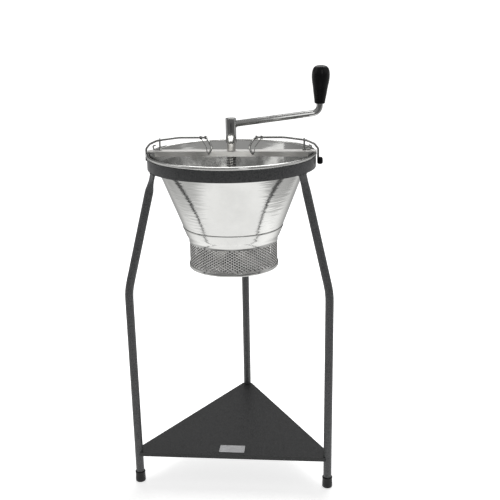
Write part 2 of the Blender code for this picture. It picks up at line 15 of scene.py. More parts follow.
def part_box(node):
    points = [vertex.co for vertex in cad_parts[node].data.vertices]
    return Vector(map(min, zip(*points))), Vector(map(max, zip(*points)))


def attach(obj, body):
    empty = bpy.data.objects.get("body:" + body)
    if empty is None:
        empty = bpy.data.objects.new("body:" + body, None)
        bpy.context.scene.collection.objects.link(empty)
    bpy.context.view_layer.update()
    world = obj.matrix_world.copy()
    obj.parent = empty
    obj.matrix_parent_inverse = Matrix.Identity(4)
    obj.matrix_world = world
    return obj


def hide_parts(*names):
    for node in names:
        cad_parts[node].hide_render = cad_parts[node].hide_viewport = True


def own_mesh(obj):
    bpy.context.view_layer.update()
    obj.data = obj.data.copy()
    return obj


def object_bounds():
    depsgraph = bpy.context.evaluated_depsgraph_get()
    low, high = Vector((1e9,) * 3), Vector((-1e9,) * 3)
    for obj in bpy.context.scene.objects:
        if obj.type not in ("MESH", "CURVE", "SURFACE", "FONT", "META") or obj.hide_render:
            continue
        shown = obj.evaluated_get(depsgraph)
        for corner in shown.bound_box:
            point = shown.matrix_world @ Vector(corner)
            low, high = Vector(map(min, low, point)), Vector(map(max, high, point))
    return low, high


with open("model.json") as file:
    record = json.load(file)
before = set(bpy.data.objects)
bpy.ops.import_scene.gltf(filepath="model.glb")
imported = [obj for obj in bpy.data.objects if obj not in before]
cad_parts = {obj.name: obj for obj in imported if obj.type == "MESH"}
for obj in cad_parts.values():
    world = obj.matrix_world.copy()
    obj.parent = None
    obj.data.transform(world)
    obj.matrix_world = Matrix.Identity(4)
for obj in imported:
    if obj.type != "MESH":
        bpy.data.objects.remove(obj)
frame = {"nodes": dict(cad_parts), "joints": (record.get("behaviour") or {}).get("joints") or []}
cad_low, cad_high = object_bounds()

# ---------------------------------------------------------------- measures from the solids


def span(node):
    """Middle of a node's box, its lowest z, its highest z and its half width along X."""
    low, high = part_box(node)
    return (low + high) / 2, low.z, high.z, (high.x - low.x) / 2


def joint(name):
    """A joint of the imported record."""
    return [j for j in frame["joints"] if j["name"] == name][0]


RING_MID, RING_FOOT, RING_TOP, RING_R = span("support_ring")
AXIS = Vector((RING_MID.x, RING_MID.y, 0.0))
_, HOPPER_FOOT, HOPPER_TOP, HOPPER_R = span("hopper_cone")
_, COLLAR_FOOT, COLLAR_TOP, COLLAR_R = span("sieve_collar")
_, DRUM_FOOT, DRUM_TOP, DRUM_R = span("sieve_drum")
_, FLOOR_FOOT, FLOOR_TOP, FLOOR_R = span("sieve_floor")
_, SPRING_FOOT, SPRING_TOP, SPRING_R = span("pressure_spring")
_, HUB_FOOT, HUB_TOP, HUB_R = span("crank_hub")
BAR_TOP = span("crossbar")[2]
SHELF_FOOT = span("shelf")[1]
SHAFT_R = span("shaft")[3]

GAP = 0.0003
CONE_SLOPE = 0.388      # radius gained for each metre of height
SHEET = 0.0012
SIEVE_SHEET = 0.0010
SLIP_FIT = 0.00035
BEAD_R = 0.0040
RING_WALL = 0.0030
FINE = 192              # segments round the large turned pieces
FLOOR_PLATE = (0.0020, 0.0035)  # underside and top of the sieve's floor above its rim's foot

# Holes in the sieve
HOLE_PITCH = 0.0062
HOLE_R = 0.00245

# Legs
LEG_ANGLES = {"front_left": 210, "front_right": 330, "back": 90}
TUBE_R = 0.0100
LUG_HALF_WIDTH = 0.0150
LUG_HALF_THICKNESS = 0.0022

# Wire clamps
WIRE_R = 0.0025
PIVOT = Vector((0.0520, -0.0190, BAR_TOP - 0.0020 - WIRE_R - 2 * GAP))
WIRE_TOP = 0.8405
POST_X = 0.1720
WIRE_END = (0.2048, 0.7870)

# Studio brightness
HORIZON = 1.25
BACK_WALL = 0.26
FRONT_WALL = 0.16
CEILING = 0.34
NEAR_GLOW = 0.42
FAR_GLOW = 0.95
NEAR_REFLECTION = 1.00
FAR_REFLECTION = 1.25
LEFT_CLOTH_SLOPE = 0.40     # how far the reflected floor's edges lean outwards for each metre of depth
RIGHT_CLOTH_SLOPE = 0.21

# Camera
CAMERA_PLACE = (0.2278, -2.0318, 1.1494)
CAMERA_YAW = -5.39
CAMERA_PITCH = 16.30
CAMERA_ROLL = -1.04
CAMERA_LENS = 61.4


# ---------------------------------------------------------------- mesh helpers

def finish_piece(name, bm, look, body, replaces=(), crease=35):
    """Turn a bmesh in the row frame into a piece that rides on a body."""
    bmesh.ops.remove_doubles(bm, verts=bm.verts, dist=1e-7)
    bmesh.ops.recalc_face_normals(bm, faces=bm.faces)
    mesh = bpy.data.meshes.new(name)
    bm.to_mesh(mesh)
    bm.free()
    mesh.materials.append(look)
    mesh.shade_smooth()
    mesh.set_sharp_from_angle(angle=radians(crease))
    piece = bpy.data.objects.new(name, mesh)
    bpy.context.scene.collection.objects.link(piece)
    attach(piece, body)
    if replaces:
        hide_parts(*replaces)
    return piece


def turned(profile, segments, closed=True, matrix=None):
    """Spin (radius, z) points about the mill's axis, or about matrix's Z axis."""
    bm = bmesh.new()
    verts = [bm.verts.new((radius, 0.0, z)) for radius, z in profile]
    edges = [bm.edges.new(pair) for pair in zip(verts, verts[1:])]
    if closed:
        edges.append(bm.edges.new((verts[-1], verts[0])))
    bmesh.ops.spin(bm, geom=verts + edges, cent=(0, 0, 0), axis=(0, 0, 1), angle=2 * pi,
                   steps=segments, use_merge=True)
    bmesh.ops.transform(bm, matrix=matrix or Matrix.Translation(AXIS), verts=bm.verts)
    return bm


def arc(centre, radius, start, end, steps):
    """Points (radius, z) on an arc, with angles in degrees from the radial direction."""
    points = []
    for i in range(steps + 1):
        angle = radians(start + (end - start) * i / steps)
        points.append((centre[0] + radius * cos(angle), centre[1] + radius * sin(angle)))
    return points


def smoothed(points, steps):
    """Catmull-Rom curve through (radius, z) points."""
    padded = [points[0], *points, points[-1]]
    curve = []
    for a, b, c, d in zip(padded, padded[1:], padded[2:], padded[3:]):
        for i in range(steps):
            t = i / steps
            curve.append(tuple(
                0.5 * (2 * q + (r - p) * t + (2 * p - 5 * q + 4 * r - s) * t * t
                       + (3 * q - p - 3 * r + s) * t ** 3)
                for p, q, r, s in zip(a, b, c, d)))
    curve.append(points[-1])
    return curve


def rounded_path(corners, bends, step=radians(9)):
    """Replace each inner corner of a polyline by an arc of the given radius."""
    path = [Vector(corners[0])]
    for before, corner, after, bend in zip(corners, corners[1:], corners[2:], bends):
        before, corner, after = Vector(before), Vector(corner), Vector(after)
        incoming = (corner - before).normalized()
        outgoing = (after - corner).normalized()
        angle = incoming.angle(outgoing)
        start = corner - incoming * bend * tan(angle / 2)
        inward = (outgoing - incoming * incoming.dot(outgoing)).normalized()
        centre = start + inward * bend
        count = max(2, ceil(angle / step))
        for i in range(count + 1):
            turn = angle * i / count
            path.append(centre - inward * bend * cos(turn) + incoming * bend * sin(turn))
    path.append(Vector(corners[-1]))
    return path


def sweep(path, radius, sides, lump=None):
    """A round bar along a path with domed ends. lump, if given, scales the radius at each point."""
    tangent = [(path[1] - path[0]).normalized()]
    for before, after in zip(path, path[2:]):
        tangent.append((after - before).normalized())
    tangent.append((path[-1] - path[-2]).normalized())
    side = tangent[0].orthogonal().normalized()
    bm = bmesh.new()
    rings = []
    for i, (point, forward) in enumerate(zip(path, tangent)):
        side = (side - forward * side.dot(forward)).normalized()
        other = forward.cross(side)
        size = radius * (lump(i) if lump else 1.0)
        angles = [2 * pi * k / sides for k in range(sides)]
        rings.append([bm.verts.new(point + (side * cos(a) + other * sin(a)) * size) for a in angles])
    for lower, upper in zip(rings, rings[1:]):
        for k in range(sides):
            j = (k + 1) % sides
            bm.faces.new((lower[k], lower[j], upper[j], upper[k]))
    for ring, point, outward in ((rings[0], path[0], -tangent[0]), (rings[-1], path[-1], tangent[-1])):
        tip = bm.verts.new(point + outward * radius * 0.5)
        for k in range(sides):
            bm.faces.new((ring[k], ring[(k + 1) % sides], tip))
    return bm


def join(*parts):
    """Several bmeshes in one."""
    together = bmesh.new()
    for part in parts:
        mesh = bpy.data.meshes.new("part")
        part.to_mesh(mesh)
        part.free()
        together.from_mesh(mesh)
        bpy.data.meshes.remove(mesh)
    return together


# ---------------------------------------------------------------- material helpers

RANGE_SOCKETS = ("From Min", "From Max", "To Min", "To Max")


class Look:
    """A Principled material whose patterns lie in the object's own coordinates."""

    def __init__(self, name, colour, roughness, metallic=0.0, specular=0.5, coat=0.0):
        self.material = bpy.data.materials.new(name)
        self.material.use_nodes = True
        self.tree = self.material.node_tree
        self.shader = self.tree.nodes["Principled BSDF"]
        self.shader.inputs["Base Color"].default_value = (*colour, 1.0)
        self.shader.inputs["Roughness"].default_value = roughness
        self.shader.inputs["Metallic"].default_value = metallic
        self.shader.inputs["Specular IOR Level"].default_value = specular
        self.shader.inputs["Coat Weight"].default_value = coat
        self.shader.inputs["Coat Roughness"].default_value = 0.2
        self.place = self.tree.nodes.new("ShaderNodeTexCoord").outputs["Object"]
        self.normal = None

    def link(self, output, node, socket):
        self.tree.links.new(output, node.inputs[socket])

    def stretched(self, scale):
        """The object's coordinates times scale."""
        mapping = self.tree.nodes.new("ShaderNodeMapping")
        mapping.inputs["Scale"].default_value = scale
        self.link(self.place, mapping, "Vector")
        return mapping.outputs["Vector"]

    def noise(self, scale, detail=2.0, roughness=0.5, stretch=(1, 1, 1), distortion=0.0):
        texture = self.tree.nodes.new("ShaderNodeTexNoise")
        texture.inputs["Scale"].default_value = scale
        texture.inputs["Detail"].default_value = detail
        texture.inputs["Roughness"].default_value = roughness
        texture.inputs["Distortion"].default_value = distortion
        self.link(self.stretched(stretch), texture, "Vector")
        return texture.outputs["Fac"]

    def cells(self, scale, feature="F1", randomness=1.0, stretch=(1, 1, 1)):
        texture = self.tree.nodes.new("ShaderNodeTexVoronoi")
        texture.feature = feature
        texture.inputs["Scale"].default_value = scale
        texture.inputs["Randomness"].default_value = randomness
        self.link(self.stretched(stretch), texture, "Vector")
        return texture.outputs["Distance"]

    def ranged(self, value, low, high, to_low, to_high):
        """Map a value from low..high to to_low..to_high, clamped."""
        node = self.tree.nodes.new("ShaderNodeMapRange")
        for socket, number in zip(RANGE_SOCKETS, (low, high, to_low, to_high)):
            node.inputs[socket].default_value = number
        self.link(value, node, "Value")
        return node.outputs["Result"]

    def combined(self, operation, a, b):
        node = self.tree.nodes.new("ShaderNodeMath")
        node.operation = operation
        for i, value in enumerate((a, b)):
            if isinstance(value, (int, float)):
                node.inputs[i].default_value = value
            else:
                self.tree.links.new(value, node.inputs[i])
        return node.outputs[0]

    def colours(self, factor, first, second):
        """Base colour that goes from first to second with factor."""
        node = self.tree.nodes.new("ShaderNodeMix")
        node.data_type = "RGBA"
        for name, colour in (("A", first), ("B", second)):
            socket = [s for s in node.inputs if s.name == name and s.type == "RGBA"][0]
            socket.default_value = (*colour, 1.0)
        result = [s for s in node.outputs if s.type == "RGBA"][0]
        self.tree.links.new(factor, node.inputs[0])
        self.link(result, self.shader, "Base Color")

    def rough(self, factor, low, high, to_low, to_high):
        self.link(self.ranged(factor, low, high, to_low, to_high), self.shader, "Roughness")

    def bump(self, height, distance):
        """Add a relief of the given height in metres on top of what is there."""
        node = self.tree.nodes.new("ShaderNodeBump")
        node.inputs["Distance"].default_value = distance
        self.link(height, node, "Height")
        if self.normal:
            self.link(self.normal, node, "Normal")
        self.normal = node.outputs["Normal"]
        self.link(self.normal, self.shader, "Normal")


# ---------------------------------------------------------------- materials

def hammer_paint(name, shade):
    """Dark grey hammered enamel: shallow dimples under a hard gloss."""
    look = Look(name, (0.042, 0.043, 0.045), 0.42, specular=0.35)
    dimples = look.cells(420, "SMOOTH_F1", 0.9)
    patches = look.noise(60, 3.0)
    # shade scales both tones, so the copies of this enamel below carry painted light and painted shade
    light = tuple(shade * c for c in (0.080, 0.081, 0.082))
    dark = tuple(shade * c for c in (0.030, 0.031, 0.032))
    look.colours(look.ranged(dimples, 0.15, 0.75, 0.0, 1.0), light, dark)
    look.rough(patches, 0.3, 0.7, 0.34, 0.50)
    look.bump(dimples, 0.00018)
    look.bump(look.noise(1400, 1.0), 0.00002)
    return look.material


def moulded_rubber():
    """Black rubber with a fine grain."""
    look = Look("moulded_rubber", (0.004, 0.004, 0.004), 0.42, specular=0.3)
    grain = look.noise(1800, 3.0)
    look.colours(look.noise(90, 3.0), (0.002, 0.002, 0.002), (0.006, 0.006, 0.006))
    look.rough(look.noise(120, 2.0), 0.3, 0.7, 0.32, 0.50)
    look.bump(grain, 0.00006)
    return look.material


def spun_steel(name="spun_steel", colour=(0.80, 0.80, 0.78), roughness=0.11, ridge=0.00026, edge=0.30):
    """Tinned sheet that was spun on a lathe: fine rings round the axis and faint wide ridges."""
    look = Look(name, colour, roughness, 1.0)
    look.shader.inputs["Specular Tint"].default_value = (edge, edge, edge, 1.0)
    lines = look.noise(1.0, 3.0, 0.6, (12, 12, 2600))
    ridges = look.noise(1.0, 1.0, 0.5, (22, 22, 210))
    haze = look.noise(14, 4.0, 0.55)
    look.colours(look.ranged(haze, 0.35, 0.7, 0.0, 1.0), colour, tuple(0.90 * c for c in colour))
    blend = look.combined("ADD", look.combined("MULTIPLY", haze, 0.75),
                          look.combined("MULTIPLY", lines, 0.25))
    look.rough(blend, 0.35, 0.65, roughness * 0.7, roughness * 1.7)
    look.bump(ridges, ridge)
    look.bump(lines, 0.000012)
    return look.material


def tin_inside_painted_shade():
    """The hopper's inside: the same tinned sheet in a darker, duller copy with mottled lighter and darker
    patches; its darker tone is painted shade inside the cone.
    """
    look = Look("tin_inside_painted_shade", (0.50, 0.50, 0.48), 0.2, 1.0)
    look.shader.inputs["Specular Tint"].default_value = (0.3, 0.3, 0.3, 1.0)
    mottle = look.noise(34, 4.0, 0.6, distortion=0.6)
    lines = look.noise(1.0, 3.0, 0.6, (12, 12, 1800))
    look.colours(look.ranged(mottle, 0.35, 0.65, 0.0, 1.0), (0.62, 0.62, 0.60), (0.32, 0.32, 0.31))
    look.rough(mottle, 0.35, 0.65, 0.14, 0.30)
    look.bump(look.noise(46, 2.0, 0.5), 0.0011)
    look.bump(lines, 0.00002)
    return look.material


def brushed_bar():
    """Sheet brushed along the bar."""
    look = Look("brushed_bar", (0.72, 0.71, 0.69), 0.42, 1.0)
    lines = look.noise(1.0, 4.0, 0.6, (18, 1900, 1900))
    haze = look.noise(22, 3.0)
    look.colours(look.ranged(haze, 0.3, 0.7, 0.0, 1.0), (0.76, 0.75, 0.73), (0.66, 0.65, 0.63))
    look.rough(lines, 0.3, 0.7, 0.36, 0.52)
    look.bump(lines, 0.00002)
    return look.material


def turned_steel():
    """Plain turned and cast parts inside the mill."""
    look = Look("turned_steel", (0.55, 0.54, 0.52), 0.3, 1.0)
    haze = look.noise(45, 4.0)
    look.colours(look.ranged(haze, 0.3, 0.7, 0.0, 1.0), (0.60, 0.59, 0.57), (0.44, 0.43, 0.41))
    look.rough(haze, 0.3, 0.7, 0.22, 0.40)
    look.bump(look.noise(500, 3.0), 0.00002)
    return look.material


def chrome(name="chrome", roughness=0.07, colour=(0.56, 0.56, 0.55), edge=0.25):
    """Polished rod with hairline marks and a little haze."""
    look = Look(name, colour, roughness, 1.0)
    look.shader.inputs["Specular Tint"].default_value = (edge, edge, edge, 1.0)
    haze = look.noise(40, 3.0)
    look.colours(look.ranged(haze, 0.3, 0.7, 0.0, 1.0), colour, tuple(0.88 * c for c in colour))
    look.rough(haze, 0.3, 0.7, roughness * 0.6, roughness * 1.8)
    look.bump(look.noise(900, 2.0, 0.5), 0.0000008)
    return look.material


def spring_wire():
    """Dark drawn wire."""
    look = Look("spring_wire", (0.34, 0.34, 0.33), 0.3, 1.0)
    haze = look.noise(150, 3.0)
    look.colours(look.ranged(haze, 0.3, 0.7, 0.0, 1.0), (0.40, 0.40, 0.39), (0.20, 0.20, 0.20))
    look.rough(haze, 0.3, 0.7, 0.20, 0.42)
    look.bump(look.noise(900, 2.0), 0.00002)
    return look.material


def black_plastic():
    """Black moulded plastic, with a soft gloss."""
    look = Look("black_plastic", (0.004, 0.004, 0.005), 0.3, specular=0.2)
    look.colours(look.noise(30, 3.0), (0.003, 0.003, 0.004), (0.007, 0.007, 0.008))
    look.rough(look.noise(70, 4.0), 0.3, 0.7, 0.22, 0.40)
    look.bump(look.noise(2200, 2.0), 0.00002)
    return look.material


def satin_plate():
    """Thin plate brushed along its length."""
    look = Look("satin_plate", (0.66, 0.66, 0.67), 0.34, 1.0)
    lines = look.noise(1.0, 3.0, 0.6, (30, 2600, 2600))
    look.colours(look.noise(60, 3.0), (0.72, 0.72, 0.73), (0.56, 0.56, 0.57))
    look.rough(lines, 0.3, 0.7, 0.28, 0.44)
    look.bump(lines, 0.00002)
    return look.material


# One dark enamel in three copies, each with its brightness tuned to the light on its part: the legs' and
# welds' copy is brightened (painted light), the ring's is a little darker and the shelf's much darker
# (painted shade).
STAND_PAINT_PAINTED_LIGHT = hammer_paint("hammer_paint", 1.4)
RING_PAINT_PAINTED_SHADE = hammer_paint("hammer_paint_ring_painted_shade", 0.95)
SHELF_PAINT_PAINTED_SHADE = hammer_paint("hammer_paint_shelf_painted_shade", 0.46)
RUBBER = moulded_rubber()
SPUN = spun_steel()
SIEVE = spun_steel("sieve_steel", (0.93, 0.92, 0.90), 0.22, 0.00002)
# Near-black copy of the sieve's steel for the inner side of the perforated sheets and the walls of their
# holes: painted shade.
SIEVE_PAINTED_SHADE = spun_steel("sieve_inside_painted_shade", (0.03, 0.03, 0.03), 0.45, 0.00002)
# Darker copy of the spun tin for the inside of the cone: painted shade.
TIN_INSIDE_PAINTED_SHADE = tin_inside_painted_shade()
BAR = brushed_bar()
TURNED = turned_steel()
CHROME = chrome()
WIRE = chrome("bright_wire", 0.16, (0.46, 0.46, 0.45), 0.12)
SPRING = spring_wire()
PLASTIC = black_plastic()
PLATE = satin_plate()

# The legs take the brightened enamel copy (painted light) and the shelf the darkened one (painted shade).
CAD_LOOKS = {
    STAND_PAINT_PAINTED_LIGHT: ("leg_front_left", "leg_front_right", "leg_back"),
    SHELF_PAINT_PAINTED_SHADE: ("shelf",),
    TURNED: ("pivot_stud", "bar_bush", "shaft", "rotor_hub", "rotor_blade_1", "rotor_blade_2",
             "rotor_blade_3", "shaft_collar", "spring_seat"),
    BAR: ("crossbar", "bar_tab"),
    CHROME: ("crank_arm", "grip_washer"),
    WIRE: ("wire_post_left", "wire_post_right"),
    SPRING: ("hub_pin",),
}


def paint_solids():
    """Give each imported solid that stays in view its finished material."""
    for look, nodes in CAD_LOOKS.items():
        for name in nodes:
            for slot in frame["nodes"][name].material_slots:
                slot.material = look


# ---------------------------------------------------------------- stand

def round_the_axis(radius, angle, z):
    """Point at a radius and angle round the mill's axis, at height z."""
    return AXIS + Vector((radius * cos(angle), radius * sin(angle), z))


def make_ring():
    """The flat ring with rolled edges."""
    edge = 0.0009
    inner = RING_R - RING_WALL
    profile = arc((RING_R - edge, RING_FOOT + edge), edge, -90, 0, 4)
    profile += arc((RING_R - edge, RING_TOP - edge), edge, 0, 90, 4)
    profile += arc((inner + edge, RING_TOP - edge), edge, 90, 180, 4)
    profile += arc((inner + edge, RING_FOOT + edge), edge, 180, 270, 4)
    ring = turned(profile, FINE)
    # The ring takes its darker enamel copy: painted shade.
    finish_piece("ring_rolled", ring, RING_PAINT_PAINTED_SHADE, "stand", ["support_ring"])


def make_lug_welds():
    """Painted weld round the flat end of each leg, under the ring."""
    for side, degrees in LEG_ANGLES.items():
        turn = Matrix.Rotation(radians(degrees), 4, "Z")
        middle = Vector((RING_R - LUG_HALF_THICKNESS, 0.0, RING_FOOT - 0.0006))
        path = []
        steps = 90
        for i in range(steps + 1):
            angle = 2 * pi * i / steps
            across, along = cos(angle), sin(angle)
            depth = (LUG_HALF_THICKNESS - 0.0002) * abs(across) ** 0.5 * (1 if across > 0 else -1)
            width = LUG_HALF_WIDTH * abs(along) ** 0.6 * (1 if along > 0 else -1)
            path.append(AXIS + turn @ (middle + Vector((depth, width, 0.0))))
        bead = sweep(path, 0.0013, 10, lambda i: 1.0 + 0.18 * sin(i * 1.9) + 0.07 * sin(i * 0.7))
        finish_piece("lug_weld_" + side, bead, STAND_PAINT_PAINTED_LIGHT, "stand")


def make_shelf_welds():
    """Painted weld beads under the shelf, round the inner side of each leg."""
    for side, degrees in LEG_ANGLES.items():
        cap_mid = span("foot_cap_" + side)[0]
        outward = (cap_mid - AXIS).to_2d().normalized()
        centre = Vector((cap_mid.x, cap_mid.y, 0.0)) + Vector((outward.x, outward.y, 0.0)) * 0.0003
        facing = radians(degrees + 180)
        path = []
        steps = 48
        for i in range(steps + 1):
            angle = facing + radians(-80 + 160 * i / steps)
            reach = TUBE_R + 0.0004
            path.append(centre + Vector((reach * cos(angle), reach * sin(angle), SHELF_FOOT - 0.0006)))
        bead = sweep(path, 0.0013, 10, lambda i: 1.0 + 0.16 * sin(i * 1.9) + 0.06 * sin(i * 0.7))
        finish_piece("shelf_weld_" + side, bead, STAND_PAINT_PAINTED_LIGHT, "stand")


def make_caps():
    """Moulded rubber caps with a rounded sole and a bead at the mouth."""
    for side in LEG_ANGLES:
        mid, low, high, _ = span("foot_cap_" + side)
        outer = 0.0125
        mouth = TUBE_R + GAP
        skin = arc((outer - 0.0034, low + 0.0034), 0.0034, -90, 0, 8)
        skin = [(outer - 0.0080, low + 0.0006), (outer - 0.0062, low)] + skin
        skin += [(outer - 0.0002, low + 0.0100), (outer - 0.0006, high - 0.0060)]
        skin += arc((outer - 0.0012, high - 0.0014), 0.0012, -20, 90, 6)
        skin += [(mouth, high), (mouth, low + 0.0032)]
        profile = [(0.0, low + 0.0006)] + skin + [(0.0, low + 0.0032)]
        body = turned(profile, 48, closed=False, matrix=Matrix.Translation((mid.x, mid.y, 0.0)))
        node = "foot_cap_" + side
        finish_piece("foot_cap_moulded_" + side, body, RUBBER, "stand", [node])


def make_plate():
    """Blank plate with rounded corners and a shallow raised border."""
    low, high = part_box("name_plate")
    middle = (low + high) / 2
    half = (high - low) / 2

    def outline(inset, z):
        radius = max(0.0005, 0.0022 - inset)
        points = []
        for quarter, (sx, sy) in enumerate(((1, 1), (-1, 1), (-1, -1), (1, -1))):
            corner = Vector((sx * (half.x - inset - radius), sy * (half.y - inset - radius)))
            for i in range(7):
                angle = radians(90 * quarter + 15 * i)
                points.append((middle.x + corner.x + radius * cos(angle),
                               middle.y + corner.y + radius * sin(angle), z))
        return points

    bm = bmesh.new()
    levels = [(0.0, low.z), (0.0, high.z - 0.00015), (0.00015, high.z), (0.0013, high.z),
              (0.0015, high.z - 0.00018)]
    rings = [[bm.verts.new(point) for point in outline(*level)] for level in levels]
    for lower, upper in zip(rings, rings[1:]):
        for k in range(len(lower)):
            j = (k + 1) % len(lower)
            bm.faces.new((lower[k], lower[j], upper[j], upper[k]))
    bm.faces.new(rings[0])
    bm.faces.new(rings[-1])
    finish_piece("plate_blank", bm, PLATE, "stand", ["name_plate"], crease=30)


# ---------------------------------------------------------------- hopper and sieve

def cone_radius(z):
    """Outer radius of the hopper's cone, from the collar that sits on it."""
    return COLLAR_R - SIEVE_SHEET - SLIP_FIT + CONE_SLOPE * (z - COLLAR_TOP)


def make_hopper():
    """Spun cone whose rim is rolled over a wire."""
    slant = SHEET * hypot(1.0, CONE_SLOPE)
    centre = (HOPPER_R - BEAD_R, HOPPER_TOP - BEAD_R)
    neck_z = RING_TOP - 0.0200
    edge = 0.0004
    outer = [(cone_radius(HOPPER_FOOT) - 0.0003, HOPPER_FOOT),
             (cone_radius(HOPPER_FOOT + edge), HOPPER_FOOT + edge)]
    steps = 24
    for i in range(1, steps + 1):
        z = HOPPER_FOOT + (neck_z - HOPPER_FOOT) * i / steps
        outer.append((cone_radius(z), z))
    roll = arc(centre, BEAD_R, -118, 190, 30)
    inner = []
    for i in range(steps + 1):
        z = neck_z + (HOPPER_FOOT - neck_z) * i / steps
        inner.append((cone_radius(z) - slant, z))
    profile = outer + roll + inner
    hopper = finish_piece("hopper_spun", turned(profile, FINE), SPUN, "hopper",
                          ["hopper_cone"], crease=30)
    # Faces inside the cone below the neck take the darker tin copy: painted shade.
    hopper.data.materials.append(TIN_INSIDE_PAINTED_SHADE)
    for face in hopper.data.polygons:
        place = face.center - AXIS
        if place.z < neck_z and hypot(place.x, place.y) < cone_radius(place.z) - slant / 2:
            face.material_index = 1


def make_collar():
    """The sieve's collar: a flared skirt that curves into a short straight neck."""
    straight_r = DRUM_R + SLIP_FIT
    bend_z = HOPPER_FOOT - 0.0120
    flare = [(straight_r, COLLAR_FOOT), (straight_r, bend_z + 0.0010)]
    steps = 10
    top_of_bend = HOPPER_FOOT + 0.0030
    for i in range(1, steps):
        part = i / steps
        z = bend_z + 0.0010 + (top_of_bend - bend_z - 0.0010) * part
        start, end = straight_r, cone_radius(top_of_bend) + SLIP_FIT
        flare.append((start + (end - start) * part ** 1.6, z))
    for i in range(7):
        z = top_of_bend + (COLLAR_TOP - top_of_bend) * i / 6
        flare.append((cone_radius(z) + SLIP_FIT, z))
    outer = [(r + SIEVE_SHEET, z) for r, z in flare]
    lip = (outer[-1][0] - SIEVE_SHEET / 2, COLLAR_TOP)
    profile = [flare[0]] + outer + arc(lip, SIEVE_SHEET / 2, 20, 160, 4) + flare[::-1][:-1]
    finish_piece("collar_flared", turned(profile, FINE), SPUN, "sieve",
                 ["sieve_collar"], crease=40)


def hole_cells(columns, rows, pitch_u, pitch_v, hole, place, sides=12, keep=None):
    """Sheet of brick-shaped cells, each with a round hole, mapped to space by place(u, v)."""
    bm = bmesh.new()
    known = {}

    def vertex(u, v):
        key = (round(u, 7), round(v, 7))
        if key not in known:
            known[key] = bm.verts.new(place(u, v))
        return known[key]

    ratio = sides // 6
    for row in range(rows):
        low, high = row * pitch_v, (row + 1) * pitch_v
        for column in range(columns):
            middle = (column + 0.5 + 0.5 * (row % 2)) * pitch_u
            if keep and not keep(middle, (low + high) / 2):
                continue
            half = pitch_u / 2
            brick = [(middle + half, low), (middle + half, high), (middle, high), (middle - half, high),
                     (middle - half, low), (middle, low)]
            outer = [vertex(u, v) for u, v in brick]
            ring = []
            for k in range(sides):
                angle = radians(-30) + 2 * pi * k / sides
                ring.append(vertex(middle + hole * cos(angle), (low + high) / 2 + hole * sin(angle)))
            for k in range(6):
                inner = [ring[(k * ratio + n) % sides] for n in range(ratio + 1)]
                bm.faces.new([outer[k], outer[(k + 1) % 6]] + inner[::-1])
    return bm


def thicken(piece, thickness, offset):
    """Give a perforated sheet its thickness with a Solidify modifier, its inside and its hole walls in a
    near-black copy of the steel: painted shade.
    """
    piece.data.materials.append(SIEVE_PAINTED_SHADE)
    modifier = piece.modifiers.new("thickness", "SOLIDIFY")
    modifier.material_offset = 1
    modifier.material_offset_rim = 1
    modifier.thickness = thickness
    modifier.offset = offset
    modifier.use_even_offset = False


def add_bands(bm, levels, columns):
    """Plain rings of quads on the drum between the given heights, on the same columns as the holes."""
    for low, high in zip(levels, levels[1:]):
        angles = [2 * pi * k / columns for k in range(columns)]
        rows = [[bm.verts.new(round_the_axis(DRUM_R, angle, z)) for angle in angles] for z in (low, high)]
        for k in range(columns):
            j = (k + 1) % columns
            bm.faces.new((rows[0][k], rows[0][j], rows[1][j], rows[1][k]))


def make_drum():
    """The drum, with upright columns of holes cut through, every other column half a pitch higher."""
    columns = 2 * round(pi * DRUM_R / (HOLE_PITCH * sin(radians(60))))
    across = 2 * pi * DRUM_R / columns
    low, high = FLOOR_TOP + 0.0006, COLLAR_FOOT + 0.0016
    holes = int((high - low) / HOLE_PITCH - 0.5)
    pitch = (high - low) / (holes + 0.5)

    def place(u, v):
        return round_the_axis(DRUM_R, v / DRUM_R, low + u)

    bm = hole_cells(holes, columns, pitch, across, HOLE_R, place)
    for k in range(columns):
        start = 0.0 if k % 2 else holes * pitch
        corners = ((start, k), (start + pitch / 2, k), (start + pitch / 2, k + 1), (start, k + 1))
        bm.faces.new([bm.verts.new(place(u, v * across)) for u, v in corners])
    add_bands(bm, (DRUM_FOOT, (DRUM_FOOT + low) / 2, low), columns)
    add_bands(bm, (high, DRUM_TOP), columns)
    bmesh.ops.remove_doubles(bm, verts=bm.verts, dist=0.00002)
    drum = finish_piece("drum_perforated", bm, SIEVE, "sieve", ["sieve_drum"], crease=50)
    thicken(drum, SIEVE_SHEET, -1.0)


